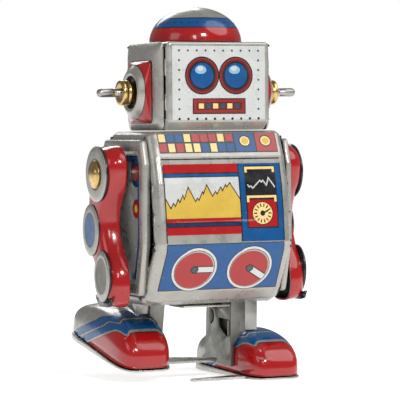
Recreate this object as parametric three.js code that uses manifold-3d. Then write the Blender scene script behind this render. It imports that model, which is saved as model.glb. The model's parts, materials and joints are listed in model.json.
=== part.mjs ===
// Tin wind-up walking robot. Millimetres, +Z up, the robot faces -Y, its left hand is at +X.
// The group is shifted along Y so that the origin is the bottom centre of the whole toy.
import * as THREE from 'three';
import { ConvexGeometry } from 'three/addons/geometries/ConvexGeometry.js';
import { mergeVertices } from 'three/addons/utils/BufferGeometryUtils.js';
import Module from 'manifold-3d';

const wasm = await Module();
wasm.setup();

// ---- driving dimensions ----
const ORIGIN_SHIFT_Y = -12.27;
const SHEET = 0.6;
const GAP = 0.3;

const HEAD = { halfWidth: 18, front: -15.6, back: 15.6, bottom: 80.3, chin: 83.1, top: 108.3,
  chinBack: 3.4, edge: 1.4 };
const EAR = { y: 0.6, z: 92.4, bossRadius: 4.05, bossFace: 27.5, pinRadius: 1.4, pinTip: 35.2,
  recess: 5.6 };
const DOME = { radius: 14.9, height: 11.4 };
const TORSO = { halfWidth: 23.8, edge: 3, midY: 2.3 };
const TRAY = { inner: 24.1, outer: 26.2, recess: 25.1, rim: 3.7 };
const ARM = { inner: 28.5, outer: 34.6, disc: 0.7 };
const SHOULDER = { y: 2.7, z: 66.5, hole: 1.9 };

const CRANK = { y: 12.3, z: 27.05, stepY: 4, stepZ: 3.75, pinRadius: 1, eyeRadius: 2, shaftHole: 1.3 };
const GUIDE = { y: 5, z: 54, pinRadius: 1.5, windowRadius: 7.4, ringRadius: 9.3 };
const LEG = { plateInner: 9.7, coverOuter: 19.5, front: -11.2, back: 8.2, bottom: -19.5 };
const TILT = { left: 2, right: 12 };
const FOOT = { inner: 11, outer: 29.3, toe: -26.4, length: 50, base: -21.3, soleTilt: 2, roundness: 0.42,
  crown: 3.6, soleLip: 0.35 };

const MOTOR = { frontPlate: -6.6, backPlate: 4.4, plate: 0.6, halfWidth: 7, bottom: 24.8, top: 66 };
const MODULE = 0.5;
const TRAIN = { mainZ: 56.35, secondZ: 45.75, thirdZ: 35.65, lastZ: 27.05, governorX: 7, governorZ: 39.9 };

const PAINT = {
  grey: [0xa9a7a0, 0.35, 0.5],
  red: [0xb81c1e, 0.3, 0.2],
  tin: [0xb9b8b0, 0.35, 0.9],
  darkTin: [0x7d7c74, 0.4, 0.9],
  brass: [0xc79a4b, 0.3, 0.9],
  steel: [0x8f8d86, 0.3, 0.9],
  copper: [0x93705c, 0.4, 0.8],
  spring: [0x4a4f57, 0.35, 0.9],
};

// ---- helpers ----
const v3 = (x, y, z) => new THREE.Vector3(x, y, z);
const rad = (degrees) => THREE.MathUtils.degToRad(degrees);

function toSolid(geometry) {
  const bare = geometry.clone();
  bare.deleteAttribute('normal');
  bare.deleteAttribute('uv');
  const merged = mergeVertices(bare, 1e-4);
  const mesh = new wasm.Mesh({
    numProp: 3,
    vertProperties: new Float32Array(merged.attributes.position.array),
    triVerts: new Uint32Array(merged.index.array),
  });
  return new wasm.Manifold(mesh);
}

function toGeometry(body) {
  const mesh = body.getMesh();
  const geometry = new THREE.BufferGeometry();
  geometry.setAttribute('position', new THREE.BufferAttribute(new Float32Array(mesh.vertProperties), 3));
  geometry.setIndex(new THREE.BufferAttribute(new Uint32Array(mesh.triVerts), 1));
  return geometry;
}

const hull = (points) => toSolid(new ConvexGeometry(points));

function prism(points, depth) {
  const shape = new THREE.Shape(points.map(([a, b]) => new THREE.Vector2(a, b)));
  return new THREE.ExtrudeGeometry(shape, { depth, bevelEnabled: false, steps: 1 });
}

// a flat plate with holes, drawn in its own plane and then laid along an axis
function drilled(points, holes, depth) {
  let body = toSolid(prism(points, depth));
  for (const outline of holes) {
    body = body.subtract(toSolid(prism(outline, depth + 2).translate(0, 0, -1)));
  }
  return toGeometry(body);
}

// points are (y, z); the plate lies between x0 and x1
function plateX(points, holes, x0, x1) {
  const geometry = drilled(points, holes, x1 - x0);
  geometry.applyMatrix4(new THREE.Matrix4().makeBasis(v3(0, 1, 0), v3(0, 0, 1), v3(1, 0, 0)));
  return geometry.translate(x0, 0, 0);
}

// points are (x, z); the plate lies between y0 and y1
function plateY(points, holes, y0, y1) {
  const geometry = drilled(points, holes, y1 - y0);
  geometry.applyMatrix4(new THREE.Matrix4().makeBasis(v3(1, 0, 0), v3(0, 0, 1), v3(0, -1, 0)));
  return geometry.translate(0, y1, 0);
}

// profiles are (radius, distance along the axis)
function lathe(profile, segments) {
  return new THREE.LatheGeometry(profile.map(([r, h]) => new THREE.Vector2(r, h)), segments);
}
const latheX = (profile, segments, y, z) => lathe(profile, segments).rotateZ(-Math.PI / 2).translate(0, y,
  z);
const latheY = (profile, segments, x, z) => lathe(profile, segments).translate(x, 0, z);

const rod = (radius, from, to) => [[0, from], [radius, from], [radius, to], [0, to]];
const tube = (inner, outer, from, to) => [[inner, from], [outer, from], [outer, to], [inner, to], [inner,
  from]];

function circle(a, b, radius, count) {
  const points = [];
  for (let i = 0; i < count; i += 1) {
    const angle = (2 * Math.PI * i) / count;
    points.push([a + radius * Math.cos(angle), b + radius * Math.sin(angle)]);
  }
  return points;
}

function box(x0, x1, y0, y1, z0, z1) {
  const geometry = new THREE.BoxGeometry(x1 - x0, y1 - y0, z1 - z0);
  return geometry.translate((x0 + x1) / 2, (y0 + y1) / 2, (z0 + z1) / 2);
}

// a convex (y, z) outline moved inward by a distance
function inset(points, distance) {
  const moved = [];
  const count = points.length;
  for (let i = 0; i < count; i += 1) {
    const before = points[(i + count - 1) % count];
    const here = points[i];
    const after = points[(i + 1) % count];
    const d1 = new THREE.Vector2(here[0] - before[0], here[1] - before[1]).normalize();
    const d2 = new THREE.Vector2(after[0] - here[0], after[1] - here[1]).normalize();
    const n1 = new THREE.Vector2(-d1.y, d1.x);
    const n2 = new THREE.Vector2(-d2.y, d2.x);
    const middle = n1.clone().add(n2).normalize();
    const reach = distance / middle.dot(n1);
    moved.push([here[0] + middle.x * reach, here[1] + middle.y * reach]);
  }
  return moved;
}

const loopAt = (points, x) => points.map(([y, z]) => v3(x, y, z));

// a folded sheet that wraps round the X axis, with its side edges rolled inward
function wrappedSheet(outline, halfWidth, edge) {
  const flat = halfWidth - edge;
  const steps = [0, 35, 65, 90];
  const outer = [];
  const inner = [];
  for (const side of [-1, 1]) {
    for (const step of steps) {
      const x = flat + edge * Math.sin(rad(step));
      const drop = edge * (1 - Math.cos(rad(step)));
      outer.push(...loopAt(inset(outline, drop), side * x));
      inner.push(...loopAt(inset(outline, drop + SHEET), side * (x - 0.1)));
    }
  }
  const through = [];
  for (const side of [-1, 1]) {
    through.push(...loopAt(inset(outline, edge + SHEET), side * (halfWidth + 1)));
  }
  return hull(outer).subtract(hull(inner)).subtract(hull(through));
}

function gearOutline(teeth, phase) {
  const pitch = (teeth * MODULE) / 2;
  const tip = pitch + 0.35;
  const root = pitch - 0.6;
  const points = [];
  for (let i = 0; i < teeth; i += 1) {
    const centre = (2 * Math.PI * i) / teeth + phase;
    const tooth = (2 * Math.PI) / teeth;
    const corners = [[root, -0.28], [tip, -0.12], [tip, 0.12], [root, 0.28]];
    for (const [radius, share] of corners) {
      const angle = centre + share * tooth;
      points.push([radius * Math.cos(angle), radius * Math.sin(angle)]);
    }
  }
  return points;
}

function gearY(teeth, phase, bore, x, z, y0, y1) {
  // the outline is seen from the back of the toy, so its angle runs from +X towards +Z
  const holes = bore > 0 ? [circle(0, 0, bore, 10)] : [];
  return plateY(gearOutline(teeth, phase), holes, y0, y1).translate(x, 0, z);
}

const toy = new THREE.Group();
toy.position.set(0, ORIGIN_SHIFT_Y, 0);

function add(name, body, paint, parent = toy) {
  const geometry = body.isBufferGeometry ? toGeometry(toSolid(body)) : toGeometry(body);
  const [color, roughness, metalness] = paint;
  const mesh = new THREE.Mesh(geometry, new THREE.MeshStandardMaterial({ color, roughness, metalness }));
  mesh.name = name;
  parent.add(mesh);
}

const mirrored = (geometry) => {
  const flipped = toGeometry(geometry.isBufferGeometry ? toSolid(geometry) : geometry);
  const index = flipped.index.array;
  flipped.scale(-1, 1, 1);
  for (let i = 0; i < index.length; i += 3) {
    const keep = index[i];
    index[i] = index[i + 1];
    index[i + 1] = keep;
  }
  return flipped;
};

function addPair(name, body, paint) {
  add(`${name}_L`, body, paint);
  add(`${name}_R`, mirrored(body), paint);
}

// ---- head ----
const headOutline = [
  [HEAD.front + 1, HEAD.top],
  [HEAD.front, HEAD.top - 1],
  [HEAD.front, HEAD.chin],
  [HEAD.front + HEAD.chinBack, HEAD.bottom],
  [HEAD.back - HEAD.chinBack, HEAD.bottom],
  [HEAD.back, HEAD.chin],
  [HEAD.back, HEAD.top - 1],
  [HEAD.back - 1, HEAD.top],
];
add('head_shell', wrappedSheet(headOutline, HEAD.halfWidth, HEAD.edge), PAINT.grey);

function roundedBox(halfA, halfB, corner, count) {
  const points = [];
  for (let i = 0; i < 4 * count; i += 1) {
    const quarter = Math.floor(i / count);
    const angle = rad((90 * (i % count)) / (count - 1) + 90 * quarter);
    const signA = quarter === 0 || quarter === 3 ? 1 : -1;
    const signB = quarter < 2 ? 1 : -1;
    const a = signA * (halfA - corner) + corner * Math.cos(angle);
    const b = signB * (halfB - corner) + corner * Math.sin(angle);
    points.push([a, b]);
  }
  return points;
}

const headMidZ = (HEAD.top + HEAD.bottom) / 2;
const shifted = (points, a, b) => points.map(([p, q]) => [p + a, q + b]);

function headSideSolid(offset) {
  const rim = shifted(roundedBox(13.3 - offset, 14 - offset, 2.4 - offset, 3), 0.1, headMidZ);
  const slope = shifted(roundedBox(10.9 - offset, 11.6 - offset, 2.2 - offset, 3), 0.1, headMidZ);
  const base = hull([...loopAt(rim, 18.2 - offset), ...loopAt(rim, 18.8 - offset), ...loopAt(slope,
    20 - offset)]);
  const square = shifted(roundedBox(8.9 - offset, 9.9 - offset, 1.6 - offset, 3), EAR.y, EAR.z + 0.2);
  const ring = circle(EAR.y, EAR.z + 0.2, 8.6 - offset, 20);
  const crown = circle(EAR.y, EAR.z + 0.2, 6.3 - offset, 20);
  const boss = hull([...loopAt(square, 19 - offset), ...loopAt(square, 20.4 - offset),
    ...loopAt(ring, 22.6 - offset), ...loopAt(crown, 24 - offset)]);
  return base.add(boss);
}
const recessHole = toSolid(latheX(rod(EAR.recess - 0.5, 18, 26), 20, EAR.y, EAR.z));
const recessCup = toSolid(latheX([[0, 21.2], [EAR.recess, 21.2], [EAR.recess, 23.6],
  [EAR.recess - 0.5, 23.6], [EAR.recess - 0.5, 21.8], [0, 21.8]], 20, EAR.y, EAR.z));
const headSide = headSideSolid(0).subtract(headSideSolid(SHEET)).subtract(recessHole).add(recessCup);
addPair('head_side', headSide, PAINT.grey);

const domeProfile = [];
const DOME_STEPS = 6;
for (let i = 0; i <= DOME_STEPS; i += 1) {
  const angle = rad((90 * i) / DOME_STEPS);
  domeProfile.push([DOME.radius * Math.cos(angle), DOME.height * Math.sin(angle)]);
}
for (let i = DOME_STEPS; i >= 0; i -= 1) {
  const angle = rad((90 * i) / DOME_STEPS);
  domeProfile.push([(DOME.radius - SHEET) * Math.cos(angle), (DOME.height - SHEET) * Math.sin(angle)]);
}
domeProfile[DOME_STEPS] = [0, DOME.height];
domeProfile[DOME_STEPS + 1] = [0, DOME.height - SHEET];
const dome = lathe([...domeProfile.slice(DOME_STEPS + 1), ...domeProfile.slice(0, DOME_STEPS + 1)], 28);
add('head_dome', dome.rotateX(Math.PI / 2).translate(0, 2, HEAD.top + GAP), PAINT.red);

const bossProfile = [[1.8, 22.1], [3.6, 22.1], [3.6, 24.2], [EAR.bossRadius, 24.8], [EAR.bossRadius,
  EAR.bossFace - 0.5],
  [EAR.bossRadius - 0.5, EAR.bossFace], [1.8, EAR.bossFace], [1.8, 22.1]];
addPair('ear_boss', latheX(bossProfile, 18, EAR.y, EAR.z), PAINT.brass);
const pinProfile = [[0, 22.2], [EAR.pinRadius, 22.2], [EAR.pinRadius, EAR.pinTip - 1.1],
  [EAR.pinRadius - 0.45, EAR.pinTip - 0.3], [0, EAR.pinTip]];
addPair('ear_pin', latheX(pinProfile, 12, EAR.y, EAR.z), PAINT.steel);

// ---- torso ----
const backY = (y) => 2 * TORSO.midY - y;
const chest = [[-11.6, 80], [-12.9, 79.4], [-16.1, 72], [-18.2, 63.5], [-19.5, 54], [-20.2, 44.6], [-19.8,
  42],
  [-12.6, 29], [-10.2, 26], [-7, 24.6]];
const torsoOutline = [...chest, ...chest.slice().reverse().map(([y, z]) => [backY(y), z])];
const legOpening = toSolid(box(-20.6, 20.6, -7.3, 32, 20, 35));
const keyHole = toSolid(latheY(rod(2.4, 15, 32), 20, 0, TRAIN.mainZ));
const torso = wrappedSheet(torsoOutline, TORSO.halfWidth,
  TORSO.edge).subtract(legOpening).subtract(keyHole);
add('torso_shell', torso, PAINT.grey);

const trayOutline = [[-12.4, 77.4], [-14.9, 69.5], [-14.9, 44.5], [-10.4, 28]];
const trayLoop = [...trayOutline, ...trayOutline.slice().reverse().map(([y, z]) => [backY(y), z])];
function traySolid(offset) {
  const rim = inset(trayLoop, offset);
  const top = inset(trayLoop, offset + 0.7);
  return hull([...loopAt(rim, TRAY.inner - 2 * offset), ...loopAt(rim, TRAY.outer - 0.6 - offset),
    ...loopAt(top, TRAY.outer - offset)]);
}
const trayField = hull([...loopAt(inset(trayLoop, TRAY.rim), TRAY.outer + 0.1),
  ...loopAt(inset(trayLoop, TRAY.rim + 0.8), TRAY.recess)]);
const trayFloor = hull([...loopAt(inset(trayLoop, TRAY.rim - 0.6), TRAY.outer - SHEET),
  ...loopAt(inset(trayLoop, TRAY.rim + 0.2), TRAY.recess - SHEET)]);
const shoulderHole = toSolid(latheX(rod(SHOULDER.hole, 20, 30), 20, SHOULDER.y, SHOULDER.z));
const tray = traySolid(0).subtract(traySolid(SHEET)).add(trayFloor).subtract(trayField).subtract(shoulderHole);
addPair('torso_side', tray, PAINT.grey);

// ---- arms ----
const armFront = [[-1.5, 75.6], [-5, 74], [-7.3, 70.6], [-7.3, 65.5], [-6, 61.5], [-3.2, 57.8], [-1.4,
  53.5], [-1.4, 49],
  [-3.4, 43.6], [-6.6, 39], [-8.6, 34.5], [-8.9, 29.5], [-7.6, 26], [-4.6, 24.4]];
const armBack = [[1.4, 24.4], [4, 26.2], [5.6, 30], [6.4, 34.5], [9.6, 38.6], [13.2, 42], [14.9, 46.5],
  [14.9, 51],
  [13, 55.5], [12.2, 59], [12.4, 63.5], [12.2, 69], [9.9, 73.2], [6, 75.6]];
const armLoop = [...armFront, ...armBack];

const armOutside = toSolid(plateX(armLoop, [], ARM.inner, ARM.outer));
const armInside = toSolid(plateX(inset(armLoop, SHEET), [], ARM.inner - 1, ARM.outer - SHEET));
const armEdge = toSolid(plateX(inset(armLoop, 0.5), [], ARM.outer - 0.01, ARM.outer + 0.25));
const discs = [
  [SHOULDER.y, SHOULDER.z, 8.6, 9],
  [7.6, 48.6, 6.6, 8.4],
  [-1.3, 34.2, 6.3, 8.2],
];
function armDisc(y, z, halfY, halfZ) {
  const ring = (scale, x) => circle(0, 0, 1, 20).map(([a, b]) => v3(x, y + a * halfY * scale,
    z + b * halfZ * scale));
  return hull([...ring(1, ARM.outer - 0.5), ...ring(1, ARM.outer + 0.3), ...ring(0.86,
    ARM.outer + ARM.disc)]);
}
let arm = armOutside.subtract(armInside).add(armEdge);
for (const [y, z, halfY, halfZ] of discs) {
  arm = arm.add(armDisc(y, z, halfY, halfZ));
}
arm = arm.subtract(shoulderHole).subtract(toSolid(latheX(rod(SHOULDER.hole, 30, 40), 20, SHOULDER.y,
  SHOULDER.z)));
addPair('arm', arm, PAINT.red);

const rivetProfile = [[0, 23.2], [2.6, 23.2], [2.6, 23.8], [1.5, 23.9], [1.5, ARM.outer + ARM.disc + GAP],
  [4.4, ARM.outer + ARM.disc + GAP], [4.2, ARM.outer + 1.5], [2.4, ARM.outer + 2], [0, ARM.outer + 2.2]];
addPair('shoulder_rivet', latheX(rivetProfile, 18, SHOULDER.y, SHOULDER.z), PAINT.brass);
addPair('shoulder_spacer', latheX(tube(SHOULDER.hole, 3.2, TRAY.recess + GAP, ARM.outer - SHEET - GAP), 16,
  SHOULDER.y, SHOULDER.z), PAINT.steel);

// ---- legs, drawn about the crank pin with the sole of the foot shell level ----
const crankPins = {
  L: { y: CRANK.y - CRANK.stepY, z: CRANK.z - CRANK.stepZ, tilt: TILT.left },
  R: { y: CRANK.y + CRANK.stepY, z: CRANK.z + CRANK.stepZ, tilt: TILT.right },
};

function legPlate(pin, ringSign) {
  const turn = rad(-pin.tilt);
  const ringY = GUIDE.y + ringSign * CRANK.stepY - pin.y;
  const ringZ = GUIDE.z + ringSign * CRANK.stepZ - pin.z;
  const ry = ringY * Math.cos(turn) - ringZ * Math.sin(turn);
  const rz = ringY * Math.sin(turn) + ringZ * Math.cos(turn);
  const lower = [[LEG.front, -1.6], [LEG.front, LEG.bottom], [LEG.back - 1, LEG.bottom], [LEG.back,
    LEG.bottom + 1],
    [LEG.back - 0.6, -1.6], [4, 3], [-4, 3], [-5, -0.4]];
  const window = [[-1.8, -4.4], [-10.2, -4.4], [-10.2, -9.9], [-8.1, -10], [-5.6, -9.1], [-2.4, -7.2]];
  const slot = [[4.9, -1.9], [3.1, -3], [2.5, -4.4], [3, -5.7], [4.4, -6.6], [3.9, -7.2], [2, -6.1], [1.4,
    -4.4], [2.1, -2.5],
    [4.5, -1.2]];
  const sheet = toSolid(plateX(lower, [window, slot], LEG.plateInner, LEG.plateInner + 0.5));
  const strap = toSolid(plateX([[-3.4, 2.5], [3.6, 2.5], [ry + 3.6, rz - 8.4], [ry - 3.4, rz - 8.4]], [],
    LEG.plateInner, LEG.plateInner + 0.5));
  const ring = toSolid(plateX(circle(ry, rz, GUIDE.ringRadius, 24), [], LEG.plateInner,
    LEG.plateInner + 0.5));
  const ringHole = toSolid(plateX(circle(ry, rz, GUIDE.windowRadius, 24), [], LEG.plateInner - 1,
    LEG.plateInner + 2));
  const pinHole = toSolid(plateX(circle(0, 0, CRANK.pinRadius + 0.35, 12), [], LEG.plateInner - 1,
    LEG.plateInner + 2));
  const flange = toSolid(plateY([[LEG.plateInner, 1.5], [14.8, 1.5], [14.8, -8.4], [12.2, -10.4], [10.85,
    -12.6],
    [10.85, LEG.bottom], [LEG.plateInner, LEG.bottom]], [], LEG.front, LEG.front + 0.5));
  const flangeTop = toSolid(plateX([[LEG.front, 1.5], [LEG.front, -2], [-5, -2], [-5, 1.5]], [],
    LEG.plateInner, LEG.plateInner + 0.5));
  return sheet.add(strap).add(ring).add(flangeTop).add(flange).subtract(ringHole).subtract(pinHole);
}

const coverFront = toSolid(plateY([[12.6, 3.6], [LEG.coverOuter, 3.6], [LEG.coverOuter, -7.9], [12.6,
  -7.9]], [],
  LEG.front + 0.8, LEG.front + 1.3));
const coverSide = toSolid(plateX([[LEG.front + 0.8, 3.6], [LEG.front + 0.8, -7.9], [-4, -7.1], [5.2, -7.1],
  [5.2, -2],
  [3, 3.6]], [], LEG.coverOuter - 0.5, LEG.coverOuter));
const cover = coverFront.add(coverSide);

const FOOT_MIDDLE = (FOOT.inner + FOOT.outer) / 2;
const FOOT_HALF = (FOOT.outer - FOOT.inner) / 2;
const footTop = (share) => 9.4 + 4 * Math.sin(Math.PI * Math.min(1, share * 1.04) ** 0.85);
function footSolid(offset, extraDown) {
  const points = [];
  const count = 28;
  const corner = FOOT.roundness;
  const levels = [1, 0.98, 0.92, 0.8, 0.5];
  for (const level of levels) {
    for (let i = 0; i < count; i += 1) {
      const angle = (2 * Math.PI * i) / count;
      const c = Math.sign(Math.cos(angle)) * Math.abs(Math.cos(angle)) ** corner;
      const s = Math.sign(Math.sin(angle)) * Math.abs(Math.sin(angle)) ** corner;
      const along = (1 + s * level) / 2;
      const rise = (footTop(along) - offset) * (1 - level ** FOOT.crown) ** (1 / FOOT.crown);
      const x = FOOT_MIDDLE + (FOOT_HALF - offset) * c * level;
      const y = FOOT.toe + FOOT.length / 2 + (FOOT.length / 2 - offset) * s * level;
      points.push(v3(x, y, FOOT.base + rise));
      if (level === 1) {
        points.push(v3(x, y, FOOT.base - extraDown));
      }
    }
  }
  return hull(points);
}
const footShell = footSolid(0, 0.2).subtract(footSolid(SHEET, 2));

const SOLE_POINTS = 28;
const soleOutline = [];
for (let i = 0; i < SOLE_POINTS; i += 1) {
  const angle = (2 * Math.PI * i) / SOLE_POINTS;
  const c = Math.sign(Math.cos(angle)) * Math.abs(Math.cos(angle)) ** FOOT.roundness;
  const s = Math.sign(Math.sin(angle)) * Math.abs(Math.sin(angle)) ** FOOT.roundness;
  soleOutline.push([FOOT_MIDDLE + (FOOT_HALF + FOOT.soleLip) * c,
    FOOT.toe + FOOT.length / 2 + (FOOT.length / 2 + FOOT.soleLip) * s]);
}
const SOLE_TOP = FOOT.base - 0.5;
const SOLE_DROP = 0.592;
const soleSlope = Math.tan(rad(FOOT.soleTilt));
const soleBottom = (y) => SOLE_TOP - SOLE_DROP - (y - FOOT.toe) * soleSlope;
const solePad = hull(soleOutline.flatMap(([x, y]) => [v3(x, y, SOLE_TOP), v3(x, y, soleBottom(y))]));
const tongueOutline = [[12.5, -19.2], [-5.4, -18.9], [-7, -18.4], [-7.7, -17.3], [-7, -16.2], [-5.4,
  -15.5], [12.5, -12.6]];
const tongue = hull(tongueOutline.flatMap(([x, y]) => [v3(x, y, soleBottom(y)), v3(x, y,
  soleBottom(y) + 0.8)]));
const sole = solePad.add(tongue);

for (const side of ['L', 'R']) {
  const pin = crankPins[side];
  const leg = new THREE.Group();
  leg.position.set(0, pin.y, pin.z);
  leg.rotation.set(rad(pin.tilt), 0, 0);
  toy.add(leg);
  const place = side === 'L' ? (body) => body : mirrored;
  const ringSign = side === 'L' ? -1 : 1;
  add(`leg_plate_${side}`, place(legPlate(pin, ringSign)), PAINT.darkTin, leg);
  add(`leg_cover_${side}`, place(cover), PAINT.grey, leg);
  add(`foot_shell_${side}`, place(footShell), PAINT.red, leg);
  add(`sole_${side}`, place(sole), PAINT.tin, leg);
}

// ---- cranks and crank shaft ----
function crankArm(stepY, stepZ) {
  const points = [];
  for (const x of [8.3, 9.3]) {
    for (const [y, z] of circle(0, 0, 2.2, 12)) {
      points.push(v3(x, CRANK.y + y, CRANK.z + z));
    }
    for (const [y, z] of circle(stepY, stepZ, CRANK.eyeRadius, 12)) {
      points.push(v3(x, CRANK.y + y, CRANK.z + z));
    }
  }
  const pinBody = toSolid(latheX(rod(CRANK.pinRadius, 9.2, 11.4), 10, CRANK.y + stepY, CRANK.z + stepZ));
  const shaftHole = toSolid(latheX(rod(CRANK.shaftHole, 7, 12), 16, CRANK.y, CRANK.z));
  return hull(points).add(pinBody).subtract(shaftHole);
}
add('crank_L', crankArm(-CRANK.stepY, -CRANK.stepZ), PAINT.copper);
add('crank_R', mirrored(crankArm(CRANK.stepY, CRANK.stepZ)), PAINT.copper);
add('crank_shaft', latheX([[0, -9.5], [1, -9.5], [1, 9.5], [0, 9.5]], 16, CRANK.y, CRANK.z), PAINT.steel);

const FACE_TEETH = 16;
const faceDisc = toSolid(latheX(tube(CRANK.shaftHole, 4.4, 2.7, 3.3), 16, CRANK.y, CRANK.z));
let faceGear = faceDisc;
for (let i = 0; i < FACE_TEETH; i += 1) {
  const angle = (2 * Math.PI * i) / FACE_TEETH;
  const tooth = hull([[3.5, 0.2], [3.5, -0.2], [4.4, 0.24], [4.4, -0.24]].flatMap(([r, w]) => {
    const y = r * Math.cos(angle) - w * Math.sin(angle);
    const z = r * Math.sin(angle) + w * Math.cos(angle);
    return [v3(2, CRANK.y + y, CRANK.z + z), v3(2.8, CRANK.y + y, CRANK.z + z)];
  }));
  faceGear = faceGear.add(tooth);
}
add('face_gear', faceGear, PAINT.brass);

// ---- motor frame ----
const hole = (x, z, radius) => circle(x, z, radius, 8);
const pillarSpots = [[-5.6, 64.4], [5.6, 64.4], [-5.6, 27.2], [5.6, 27.2]];
const plateCorner = [[-MOTOR.halfWidth, MOTOR.bottom], [MOTOR.halfWidth, MOTOR.bottom],
  [MOTOR.halfWidth, 37.6], [8.6, 38.4], [8.6, 41.4], [MOTOR.halfWidth, 42.2],
  [MOTOR.halfWidth, MOTOR.top], [-MOTOR.halfWidth, MOTOR.top]];
const bearings = [hole(0, TRAIN.mainZ, 1.5), hole(0, TRAIN.secondZ, 1), hole(0, TRAIN.thirdZ, 1),
  hole(0, TRAIN.lastZ, 1), hole(TRAIN.governorX, TRAIN.governorZ, 0.9)];
const pillarHoles = pillarSpots.map(([x, z]) => hole(x, z, 1));
const clickPost = { x: -5.6, z: 60.6 };
const clickTip = { x: -2.75, z: 59.1 };
add('motor_plate_front', plateY(plateCorner, [...bearings, ...pillarHoles], MOTOR.frontPlate,
  MOTOR.frontPlate + MOTOR.plate), PAINT.tin);
add('motor_plate_back', plateY(plateCorner, [...bearings, ...pillarHoles, hole(clickPost.x, clickPost.z,
  0.9)],
  MOTOR.backPlate, MOTOR.backPlate + MOTOR.plate), PAINT.tin);
const pillarProfile = [[0, -7.2], [0.7, -7.2], [0.7, -5.7], [1.1, -5.7], [1.1, 4.1], [0.7, 4.1], [0.7,
  5.2], [0, 5.2]];
pillarSpots.forEach(([x, z], i) => add(`motor_pillar_${i + 1}`, latheY(pillarProfile, 12, x, z),
  PAINT.steel));

const earOutline = [[5.6, 23.5], [16.2, 23.5], [16.2, 30.4], [9, 57.5], [2.4, 57.5], [2.4, 51], [5.6, 45]];
const earPlate = (x0, x1) => toSolid(plateX(earOutline, [circle(CRANK.y, CRANK.z, CRANK.shaftHole, 16),
  circle(GUIDE.y, GUIDE.z, 0.9, 12)], x0, x1));
const baseBody = toSolid(box(-8.2, 8.2, -5, 6.2, 23.3, 23.9)).add(earPlate(7.4, 8)).add(earPlate(-8, -7.4));
add('motor_base', baseBody, PAINT.tin);
addPair('guide_pin', latheX([[0, 7], [0.6, 7], [0.6, 8.3], [GUIDE.pinRadius, 8.3], [GUIDE.pinRadius, 11.6],
  [1, 12], [0, 12]], 16, GUIDE.y, GUIDE.z), PAINT.steel);

// ---- power and train ----
const arborProfile = [[0, -7.4], [1.1, -7.4], [1.1, -5.7], [1.4, -5.7], [1.4, -1.4], [1.1, -1.4], [1.1,
  29.4], [0, 29.4]];
add('winding_arbor', latheY(arborProfile, 16, 0, TRAIN.mainZ), PAINT.steel);

const springPoints = [];
const SPRING_TURNS = 4;
const SPRING_STEPS = 60;
const springWall = 0.22;
const springRadius = (share) => 2 + 6 * share;
for (let i = 0; i <= SPRING_STEPS; i += 1) {
  const share = i / SPRING_STEPS;
  const angle = 2 * Math.PI * SPRING_TURNS * share;
  springPoints.push([springRadius(share) * Math.cos(angle), springRadius(share) * Math.sin(angle)]);
}
for (let i = SPRING_STEPS; i >= 0; i -= 1) {
  const share = i / SPRING_STEPS;
  const angle = 2 * Math.PI * SPRING_TURNS * share;
  const radius = springRadius(share) + springWall;
  springPoints.push([radius * Math.cos(angle), radius * Math.sin(angle)]);
}
add('mainspring', plateY(springPoints, [], -5.6, -1.8).translate(0, 0, TRAIN.mainZ), PAINT.spring);

const GREAT = 32;
const SECOND = { pinion: 10, wheel: 30 };
const THIRD = { pinion: 10, wheel: 24 };
const LAST = { pinion: 10, face: 8 };
const GOVERNOR = 8;
add('great_wheel', gearY(GREAT, 0, 1.4, 0, TRAIN.mainZ, -1.1, -0.3), PAINT.brass);
add('ratchet_wheel', gearY(12, 0, 1.4, 0, TRAIN.mainZ, 5.6, 6.4), PAINT.steel);

function arborWithPinion(teeth, phase, x, z, gear0, gear1, from, to, thin) {
  const shaft = toSolid(latheY(rod(thin, from, to), 12, x, z));
  return shaft.add(toSolid(gearY(teeth, phase, 0, x, z, gear0, gear1)));
}
add('second_pinion', arborWithPinion(SECOND.pinion, 0, 0, TRAIN.secondZ, -1.5, 0.1, -7.2, 5.5, 0.7),
  PAINT.steel);
add('second_wheel', gearY(SECOND.wheel, 0, 1, 0, TRAIN.secondZ, 0.5, 1.1), PAINT.brass);
add('third_pinion', arborWithPinion(THIRD.pinion, rad(18), 0, TRAIN.thirdZ, 0.2, 1.4, -7.2, 5.5, 0.7),
  PAINT.steel);
add('third_wheel', gearY(THIRD.wheel, 0, 1, 0, TRAIN.thirdZ, 2, 2.6), PAINT.brass);
const lastPinion = arborWithPinion(LAST.pinion, 0, 0, TRAIN.lastZ, 1.7, 2.9, -7.2, 9.6, 0.7)
  .add(toSolid(gearY(LAST.face, rad(22.5), 0, 0, TRAIN.lastZ, 7.4, 9.2)));
add('face_pinion', lastPinion, PAINT.steel);

const governorDistance = Math.hypot(TRAIN.governorX, TRAIN.governorZ - TRAIN.thirdZ);
const governorAngle = Math.atan2(TRAIN.governorZ - TRAIN.thirdZ, TRAIN.governorX);
const wheelToothStep = (2 * Math.PI) / THIRD.wheel;
const wheelShare = governorAngle / wheelToothStep - Math.round(governorAngle / wheelToothStep);
const pinionPhase = governorAngle + Math.PI + (Math.PI / GOVERNOR) + wheelShare * ((2 * Math.PI) / GOVERNOR);
add('governor_pinion', arborWithPinion(GOVERNOR, pinionPhase, TRAIN.governorX, TRAIN.governorZ, 1.8, 2.8,
  -7.2, 5.5, 0.6), PAINT.steel);
const fanBlade = [[-2.6, -0.25], [2.6, -0.25], [2.6, 0.25], [-2.6, 0.25]];
const fan = toSolid(plateY(fanBlade, [], -5.2, -2.6)).add(toSolid(latheY(rod(1.1, -5.2, -2.6), 12, 0, 0)))
  .subtract(toSolid(latheY(rod(0.9, -7, 0), 12, 0, 0)));
const fanPlaced = toGeometry(fan).translate(TRAIN.governorX, 0, TRAIN.governorZ);
add('governor_fan', fanPlaced, PAINT.brass);

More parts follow.
